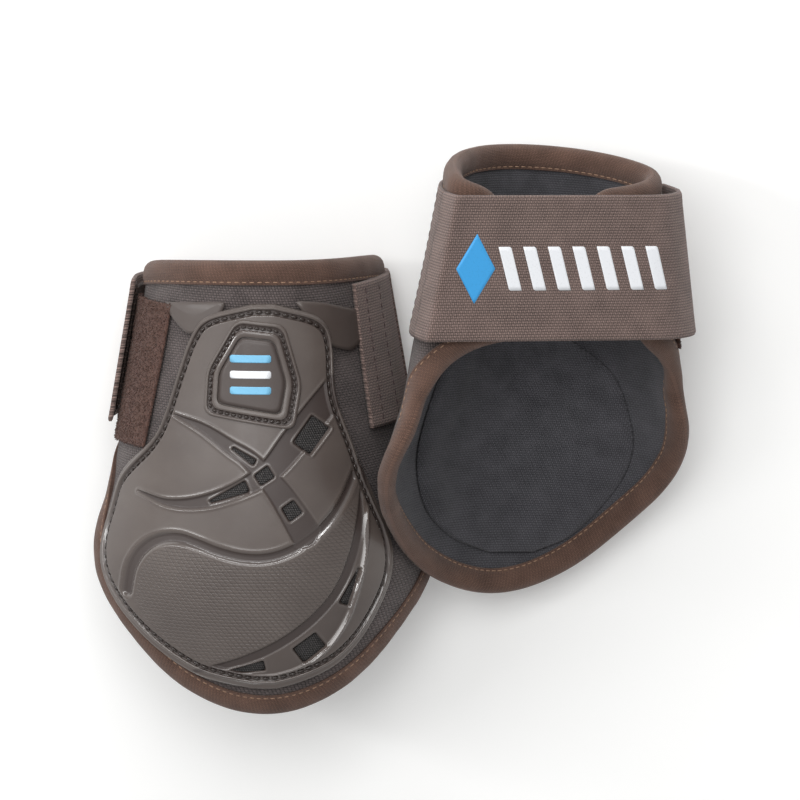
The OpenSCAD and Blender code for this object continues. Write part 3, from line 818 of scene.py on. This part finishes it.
def sew_shell():
    """Glossy dark thread laid in the channel along the shell's edge."""
    line = wall(*shell_outline(), SHELL_OUT)
    grid_phi, grid_y, grid = patch_grid(120, 90, SHELL_LEFT, SHELL_RIGHT, SHELL_OUT)
    gap = edge_gap(grid, line)
    score = np.abs(gap - channel_inset(grid_y))
    places = []
    for spot in even(line, 400, True):
        reach = ((grid - spot) ** 2).sum(-1)
        pick = np.where(reach < 36, score * 4 + np.sqrt(reach) * 0.35, 1e3).argmin()
        places.append([grid_phi.flat[pick], grid_y.flat[pick]])
    places = np.array(places)
    for _ in range(6):
        places = (np.roll(places, 1, 0) + 2 * places + np.roll(places, -1, 0)) / 4
    track = even(wall(places[:, 0], places[:, 1], SHELL_OUT - 0.5), 118, True)
    along = round_loop(track)
    middle = even(places, 118, True)
    out = out_of_wall(middle[:, 0], middle[:, 1])
    mesh = make_mesh("shell_thread", dashes(track, along, out, 2.3, 1.1, 0.75), [DARK_THREAD])
    add_piece("shell_thread", mesh, "boot", ["shell_stitching"])


# ---- badge

BADGE_AT = np.array([-4.5, 115.0])
BADGE_OUTLINE = np.array([[-3.5, 15], [9, 13.6], [13.5, -2], [11.5, -13.5], [-12, -9.8],
                          [-11.3, 1.5]])


def badge():
    """A raised face inside a moulded ring with a sewn channel, with three plain stripes."""
    outline = even(rounded(BADGE_OUTLINE, 2.6, 8), 200, True)
    profile = [(0.90, -0.4), (0.905, 0.75), (0.93, 0.98), (1.0, 1.02), (1.035, 0.98),
               (1.05, 0.75), (1.06, 0.28), (1.10, 0.2), (1.15, 0.2), (1.19, 0.28), (1.2, 0.6),
               (1.215, 0.78), (1.25, 0.72), (1.275, 0.5), (1.285, 0.1), (1.285, -0.4)]
    rings = [on_shell(*(BADGE_AT + outline * s).T, h) for s, h in profile]
    n, k = len(outline), len(profile)
    points = np.stack(rings, 1).reshape(-1, 3)
    faces = [[i * k + j, ((i + 1) % n) * k + j, ((i + 1) % n) * k + (j + 1) % k,
              i * k + (j + 1) % k] for i in range(n) for j in range(k)]
    # The sunk channel round the ring is marked as floor, which the rubber look darkens with
    # painted shade.
    deep = np.array([1.0 if 1.055 < s < 1.195 else 0.0 for s, _ in profile])
    shiny = np.array([0.9 if s in (1.05, 1.2, 1.035, 1.06) else 0.0 for s, _ in profile])
    plan = np.stack([BADGE_AT + outline * s for s, _ in profile], 1).reshape(-1, 2)
    mesh = make_mesh("badge_ring", (points, faces), [RUBBER], plan,
                     {"floor": np.tile(deep, n), "dome": np.zeros(n * k),
                      "gloss": np.tile(shiny, n)})
    add_piece("badge_ring", mesh, "boot", ["badge_frame"])

    face = slab(BADGE_AT + outline * 0.875, on_shell, -0.3, 0.62, 8, 0.15)
    mesh = make_mesh("badge_face", face, [RUBBER], face[0][:, :2],
                     {"floor": np.full(len(face[0]), 0.75)})
    add_piece("badge_face", mesh, "boot", ["badge_plate"])

    bars = []
    for k in (-1, 0, 1):
        middle = BADGE_AT + [0.3, 1 + 5.2 * k]
        corners = [[-6.8, -1.25], [6.8, -1.25], [6.8, 1.25], [-6.8, 1.25]]
        bars.append(slab(even(rounded(np.array(corners) + middle, 0.5), 40, True), on_shell,
                         0.6, 0.86, 4))
    kinds = np.concatenate([[int(i == 1)] * len(b[1]) for i, b in enumerate(bars)])
    mesh = make_mesh("badge_bars", joined(*bars), [PALE_BLUE_INK, WHITE_INK], second=kinds)
    add_piece("badge_bars", mesh, "boot", ["badge_stripes"])

    count = 46
    ring = BADGE_AT + even(outline, count, True) * 1.125
    spots = on_shell(*ring.T, 0.38)
    along = round_loop(spots)
    out = unit(on_shell(*ring.T, 1.4) - spots)
    mesh = make_mesh("badge_thread", dashes(spots, along, out, 1.75, 1.0, 0.75), [DARK_THREAD])
    add_piece("badge_thread", mesh, "boot", ["badge_stitching"])


# ---- bound edges and liner

EDGE_IN = BINDING_W / 2
CORNER_R, CORNER_V, COLLAR_END_V = 10, 0.28, 0.68


def on_free(side, v):
    phi = free_angle(side, v, EDGE_IN)
    return np.array([phi, mix(low_y(phi, EDGE_IN), top_y(phi, EDGE_IN), v)])


def bend(a, corner, b):
    return corner_arc(a, corner, b, np.linspace(0.04, 0.96, 14)[:, None])


def edge_path(start_side, edge, corner_v, end_v):
    """Places [angle, height] along one bound edge, from one flank's free edge to the other."""
    def turn(phi):
        return CORNER_R / wall_speed(118, phi)

    def on_edge(phi):
        return np.stack([phi, edge(phi, EDGE_IN)], -1)

    corner = round(corner_v)
    first, last = on_free(start_side, corner)[0], on_free(-start_side, corner)[0]
    begin = first - start_side * turn(180)
    end = last + start_side * turn(180)
    v = np.linspace(end_v, corner_v, 12)
    before = np.array([on_free(start_side, s) for s in v])
    after = np.array([on_free(-start_side, s) for s in v[::-1]])
    middle = on_edge(np.linspace(begin, end, 240))
    return np.concatenate([
        before[:-1], bend(before[-1], on_free(start_side, corner), middle[0]), middle,
        bend(middle[-1], on_free(-start_side, corner), after[0]), after[1:]])


def tape_frames(path):
    """Lengths and even places along a path, with across, outward and forward directions."""
    points = wall(path[:, 0], path[:, 1], 0)
    run = run_of(points)
    at = np.linspace(0, run[-1], int(run[-1] / TAPE_STEP))
    phi, y = np.interp(at, run, path[:, 0]), np.interp(at, run, path[:, 1])
    smoothed((phi, y), 12)
    centre = wall(phi, y, 0)
    out = out_of_wall(phi, y)
    along = unit(np.gradient(centre, axis=0))
    across = unit(np.cross(along, out))
    return at, centre, across, unit(np.cross(across, along)), along


# Half of the tape's section from its sewn inner edge to its folded outer edge: [across, out]
TAPE_HALF = np.array([[-4.15, 1.95], [-4.05, 2.35], [-3.6, 2.5], [-3.15, 2.3], [-2.7, 2.52],
                      [-1.8, 2.86], [-0.6, 3.0], [0.8, 2.98], [2.0, 2.72], [3.0, 2.15],
                      [3.7, 1.35], [4.05, 0.5]])


def tape(name, path, node):
    at, centre, across, out, along = tape_frames(path)
    section = np.concatenate([TAPE_HALF, TAPE_HALF[::-1] * [1, -1]])
    pucker = 1 + 0.03 * np.sin(at / 1.9) * np.sin(at / 7.3 + 1) + 0.02 * np.sin(at / 3.1)
    section = section[None] * np.stack([np.ones_like(pucker), pucker], -1)[:, None]
    reach = run_of(TAPE_HALF)
    v = np.concatenate([reach, reach[::-1]])
    uv = np.stack(np.broadcast_arrays(at[:, None], v[None]), -1).reshape(-1, 2)
    mesh = make_mesh(name, sweep((centre, across, out), section), [TAPE], uv)
    add_piece(name, mesh, "boot", [node])
    pick = np.arange(3, len(at) - 3, 3)
    rows = [dashes((centre + across * -3.15 + out * 2.4 * s)[pick], along[pick],
                   out[pick] * s, 1.5, 0.42, 0.36) for s in (1, -1)]
    return joined(*rows)


def bound_edges():
    collar = edge_path(1, top_y, 1 - CORNER_V, COLLAR_END_V)
    rim = edge_path(-1, low_y, CORNER_V, COLLAR_END_V - 0.02)
    threads = [tape("collar_tape", collar, "collar_binding"), tape("rim_tape", rim, "rim_binding")]
    mesh = make_mesh("tape_thread", joined(*threads), [TAPE_THREAD])
    add_piece("tape_thread", mesh, "boot", [])
    return collar[::-1], rim


def padded_liner(collar, rim):
    """The padded wall, ruled between the two bound edges."""
    cols, rows = ((280, 80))
    ends = [even(path * [0.72, 1], cols + 1) / [0.72, 1] for path in (rim, collar)]
    share = np.arange(rows + 1)[:, None] / rows
    places = mix(ends[0][None], ends[1][None], share[..., None])
    phi, y = places[..., 0], places[..., 1]
    ripple = 0.12 * np.sin(phi / 4.1 + y / 17) * np.sin(y / 8.3 - phi / 23)
    outer = wall(phi, y, LINER_OUT + ripple)
    inner = wall(phi, y, -LINER_OUT + ripple)
    points, faces = sheet(outer, inner)
    grid = rows * cols
    kinds = np.zeros(len(faces), int)
    kinds[grid:2 * grid] = 1
    mesh = make_mesh("padded_liner", (points, faces), [OUTER_CLOTH, INNER_CLOTH],
                     wall_uv(phi, y), second=kinds)
    add_piece("padded_liner", mesh, "boot", ["liner"])


# ---- strike pad

def inflate(piece, pressure, cap):
    """Puffs a mesh with cloth pressure. Its group "sewn" stays, the rest moves at most cap mm."""
    cloth = piece.modifiers.new("Cloth", "CLOTH")
    cloth.settings.quality = 6
    cloth.settings.mass = 0.3
    cloth.settings.tension_stiffness = cloth.settings.compression_stiffness = 12
    cloth.settings.bending_stiffness = 0.8
    cloth.settings.vertex_group_mass = "sewn"
    cloth.settings.use_pressure = True
    cloth.settings.uniform_pressure_force = pressure
    cloth.settings.effector_weights.gravity = 0
    rest = np.array([v.co for v in piece.data.vertices])
    for number in range(1, 21):
        bpy.context.scene.frame_set(number)
    graph = bpy.context.evaluated_depsgraph_get()
    puffed = np.array([v.co for v in piece.evaluated_get(graph).data.vertices])
    bpy.context.scene.frame_set(1)
    piece.modifiers.remove(cloth)
    move = puffed - rest
    far = np.linalg.norm(move, axis=1, keepdims=True)
    share = cap * MM * np.tanh(far / (cap * MM)) / np.maximum(far, 1e-9)
    piece.data.vertices.foreach_set("co", (rest + move * share).ravel())


def cup_pad():
    """The strike pad inside the cup, sewn down round its edge and on the liner."""
    rows = cols = 44
    phi, y, _ = patch_grid(rows, cols, PAD_LEFT, PAD_RIGHT, 0)
    u = np.abs(np.arange(cols + 1) / cols * 2 - 1)
    v = np.abs(np.arange(rows + 1) / rows * 2 - 1)[:, None]
    crown = ((1 - u ** 8) * (1 - v ** 8)) ** 0.4
    base = -LINER_OUT - 0.3
    points, faces = sheet(wall(phi, y, base + 0 * crown), wall(phi, y, base - 0.25 - 2.5 * crown))
    mesh = make_mesh("cup_pad", (points, faces), [INNER_CLOTH], wall_uv(phi, y))
    pad = new_object("pad_form", mesh)
    free = np.zeros((rows + 1, cols + 1), bool)
    free[1:-1, 1:-1] = True
    sewn = [i for i in range(free.size)] + (np.flatnonzero(~free) + free.size).tolist()
    pad.vertex_groups.new(name="sewn").add(sewn, 1.0, "REPLACE")
    inflate(pad, 4, 1.6)
    pad.modifiers.new("Round", "SUBSURF").levels = 1
    graph = bpy.context.evaluated_depsgraph_get()
    mesh = bpy.data.meshes.new_from_object(pad.evaluated_get(graph))
    mesh.name = "cup_pad"
    bpy.data.objects.remove(pad)
    add_piece("cup_pad", mesh, "boot", ["strike_pad"])


# ---- straps

def strap_off(phi):
    return np.interp(phi, [SPAN_START_PHI, 360 + BEND_PHI - 1], [SHELL_IN + 0.3, TAB_IN])


def strap_strip(low_phi, high_phi, low, high, t_in, t_out, rows, cols, selvage=0.0):
    """A strip of the strap's loop with its UVs in millimetres."""
    phi = np.linspace(low_phi, high_phi, cols + 1)[None]
    y = np.linspace(low, high, rows + 1)[:, None] + 0 * phi
    phi = phi + 0 * y
    edge = np.minimum(y - low, high - y)
    lift = selvage * (np.exp(-((edge - 1.3) / 0.45) ** 2) + np.exp(-((edge - 2.9) / 0.4) ** 2))
    round_off = 0.35 * (1 - np.clip(edge / 0.5, 0, 1)) ** 2
    outer = strap_at(phi, y, strap_off(phi), t_out + lift - round_off)
    inner = strap_at(phi, y, strap_off(phi), t_in + round_off)
    run = run_of(outer[rows // 2])
    uv = np.stack([np.broadcast_to(run, y.shape), y], -1).reshape(-1, 2)
    return sheet(outer, inner), np.concatenate([uv, uv])


def on_strap(x, y, h):
    """The place above (x, y) in plan on the strap's back, h out of its face."""
    x, y, h = alike(x, y, h)
    phi = np.full(x.shape, 180.0)
    for _ in range(4):
        reach = strap_half(y, np.where(x > 0, 1, -1)) + strap_off(phi) + STRAP_T
        phi = 180 - np.degrees(np.arcsin(np.clip(x / reach, -1, 1)))
    return strap_at(phi, y, strap_off(phi), STRAP_T + h)


def straps():
    band, uv = strap_strip(SPAN_START_PHI, 360 + TAB_END_PHI, STRAP_LOW, STRAP_HIGH, 0, STRAP_T,
                           60, 240, 0.12)
    for side in SIDES:
        mesh = make_mesh(f"{side}_strap_band", band, [WEBBING], uv)
        piece = new_object(f"{side}_strap_band", mesh)
        piece.matrix_world = PLACE[side]
        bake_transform(piece)
        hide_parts(f"{side}_strap_span", f"{side}_strap_tab")

    hooks, uv = strap_strip(360 + BEND_PHI + 6, 360 + TAB_END_PHI - 4, STRAP_LOW + 3,
                            STRAP_HIGH - 3, -HOOK_GAP - HOOK_T, -HOOK_GAP + 0.25, 30, 30)
    add_piece("hook_panel", make_mesh("hook_panel", hooks, [HOOKS], uv), "tab",
              ["hook_pad"])

    rows, cols = 40, 60
    phi = np.linspace(BASE_START_PHI, SPAN_START_PHI - 0.1, cols + 1)[None]
    y = np.linspace(STRAP_LOW, STRAP_HIGH, rows + 1)[:, None]
    phi, y = phi + 0 * y, y + 0 * phi
    edge = np.minimum(y - STRAP_LOW, STRAP_HIGH - y)
    lift = 0.12 * np.exp(-((edge - 1.3) / 0.45) ** 2)
    outer = wall(phi, y, SHELL_IN + STRAP_T + lift)
    mesh = make_mesh("sewn_webbing", sheet(outer, wall(phi, y, SHELL_IN)), [WEBBING],
                     wall_uv(phi, y))
    add_piece("sewn_webbing", mesh, "boot", ["strap_base"])

    rise = np.linspace(STRAP_LOW + 3, STRAP_HIGH - 3, 14)
    phi, y = (column.ravel() for column in np.meshgrid(SEAM_PHIS, rise, indexing="ij"))
    thread_at = SHELL_IN + STRAP_T + 0.05
    spots = wall(phi, y, thread_at)
    up = wall(phi, y + 1, thread_at) - spots
    solid = dashes(spots, unit(up), out_of_wall(phi, y), 2.2, 0.55, 0.3)
    add_piece("strap_thread", make_mesh("strap_thread", solid, [BROWN_THREAD]), "boot",
              ["strap_stitching"])


def strap_motif():
    """A plain wordless print: a diamond and a row of slanting bars."""
    x, half_wide, half_high = 33, 6.8, 11.5
    diamond = [[x - half_wide, STRAP_Y], [x, STRAP_Y - half_high], [x + half_wide, STRAP_Y],
               [x, STRAP_Y + half_high]]
    ink_in, ink_out = -0.12, 0.07
    shapes = [slab(even(diamond, 40, True), on_strap, ink_in, ink_out, 6)]
    bar = np.array([[-4.4, -7.2], [0, -7.2], [4.4, 7.2], [0, 7.2]])
    bar_count, first_x, bar_step = 7, 21, 8.6
    for k in range(bar_count):
        corners = bar + [first_x - bar_step * k, STRAP_Y]
        shapes.append(slab(even(corners, 40, True), on_strap, ink_in, ink_out, 5))
    kinds = np.concatenate([[int(i > 0)] * len(s[1]) for i, s in enumerate(shapes)])
    mesh = make_mesh("strap_motif", joined(*shapes), [BLUE_INK, WHITE_INK], second=kinds)
    add_piece("strap_motif", mesh, "strap", ["strap_print"])


def loop_panel():
    """The panel of brushed pile that the strap's end closes on."""
    rng = np.random.default_rng(7)
    rows, cols = 90, 110

    def places(u, v):
        y = mix(STRAP_LOW - 6, STRAP_HIGH - 6, v)
        return mix(-104, -50, u) + 6 * (v - 0.5), y

    phi, y = places(np.arange(cols + 1)[None] / cols, np.arange(rows + 1)[:, None] / rows)
    y = y + 0 * phi
    rough = rng.random(phi.shape)
    outer = wall(phi, y, LOOP_OUT - 0.15 + 0.3 * rough)
    solids = [sheet(outer, wall(phi, y, SHELL_IN))]
    count = 9000
    u, v = rng.random(count) * 1.012 - 0.006, rng.random(count) * 1.012 - 0.006
    phi, y = places(u, v)
    root = wall(phi, y, LOOP_OUT - 0.25)
    out = out_of_wall(phi, y)
    lie = unit(out * 0.5 + rng.normal(0, 0.55, (count, 3)))
    side = unit(np.cross(lie, rng.normal(0, 1, (count, 3))))
    other = np.cross(lie, side)
    long, wide = 0.55 + 0.5 * rng.random((count, 1)), 0.13 + 0.07 * rng.random((count, 1))
    tips = np.stack([root, root + lie * long * 0.5 + side * wide,
                     root + lie * long * 0.5 - side * wide * 0.5 + other * wide,
                     root + lie * long * 0.5 - side * wide * 0.5 - other * wide,
                     root + lie * long], 1)
    faces = []
    for b in range(0, 5 * count, 5):
        faces += [[b, b + 2, b + 1], [b, b + 3, b + 2], [b, b + 1, b + 3],
                  [b + 4, b + 1, b + 2], [b + 4, b + 2, b + 3], [b + 4, b + 3, b + 1]]
    solids.append((tips.reshape(-1, 3), faces))
    solid = joined(*solids)
    points = solid[0]
    mesh = make_mesh("loop_panel", solid, [PILE], np.stack([points[:, 2], points[:, 1]], -1))
    add_piece("loop_panel", mesh, "boot", ["loop_patch"])


moulded_shell()
badge()
padded_liner(*bound_edges())
cup_pad()
straps()
strap_motif()
loop_panel()


# ---- floor, light and camera

def floor_look():
    k = Look("pale_glowing_floor", "Object")
    tone = k.noise(300, 2)
    colour = k.blend(k.fit(tone), srgb(244, 244, 243), srgb(248, 248, 247))
    # Painted light: the floor glows faintly, which lifts it to white, washes out the boots'
    # shadows on it and lights them a little from below.
    return k.done(colour, 0.9, k.bump(k.noise(2, 2), 0.01), Specular_IOR_Level=0.1,
                  Emission_Color=colour, Emission_Strength=0.12)


def add_floor():
    half, z = 3.0, -0.0006
    mesh = bpy.data.meshes.new("floor")
    mesh.from_pydata([(-half, -half, z), (half, -half, z), (half, half, z), (-half, half, z)],
                     [], [(0, 1, 2, 3)])
    mesh.materials.append(floor_look())
    new_object("floor", mesh)


def add_light(name, place, aim, size, power):
    """A soft box that faces the boots."""
    light = bpy.data.lights.new(name, "AREA")
    light.shape = "RECTANGLE"
    light.size, light.size_y = size
    light.energy = power
    lamp = new_object(name, light)
    lamp.location = place
    lamp.rotation_euler = (Vector(aim) - Vector(place)).to_track_quat("-Z", "Y").to_euler()


def add_camera():
    """Straight down with a slight tilt, from two metres."""
    tilt = math.radians(9)
    aim = Vector((0.045, -0.0152, 0.04))
    away = Vector((0, math.sin(tilt), math.cos(tilt)))
    up = Vector((0, math.cos(tilt), -math.sin(tilt)))
    lens = bpy.data.cameras.new("camera")
    lens.sensor_width, lens.lens = 36, 270
    lens.clip_start, lens.clip_end = 0.05, 20
    camera = new_object("camera", lens)
    spot = aim + away * 2.0
    turn = Matrix((up.cross(away), up, away)).transposed()
    camera.matrix_world = Matrix.Translation(spot) @ turn.to_4x4()
    bpy.context.scene.camera = camera


def add_sky():
    world = bpy.data.worlds.new("studio")
    world.use_nodes = True
    background = world.node_tree.nodes["Background"]
    background.inputs["Color"].default_value = (1, 1, 1, 1)
    background.inputs["Strength"].default_value = 0.5
    bpy.context.scene.world = world


add_floor()
add_sky()
middle = (0.04, -0.02, 0.03)
add_light("overhead", (-0.15, 0.45, 1.25), middle, (0.9, 0.6), 7.0)
add_light("far_strip", (-0.15, 1.2, 0.75), middle, (1.5, 0.12), 8.0)
add_light("side_strip", (-1.1, 0.35, 0.8), middle, (0.12, 1.0), 5.0)
add_camera()
bpy.context.scene.view_settings.view_transform = "Standard"
bpy.context.scene.view_settings.look = "None"
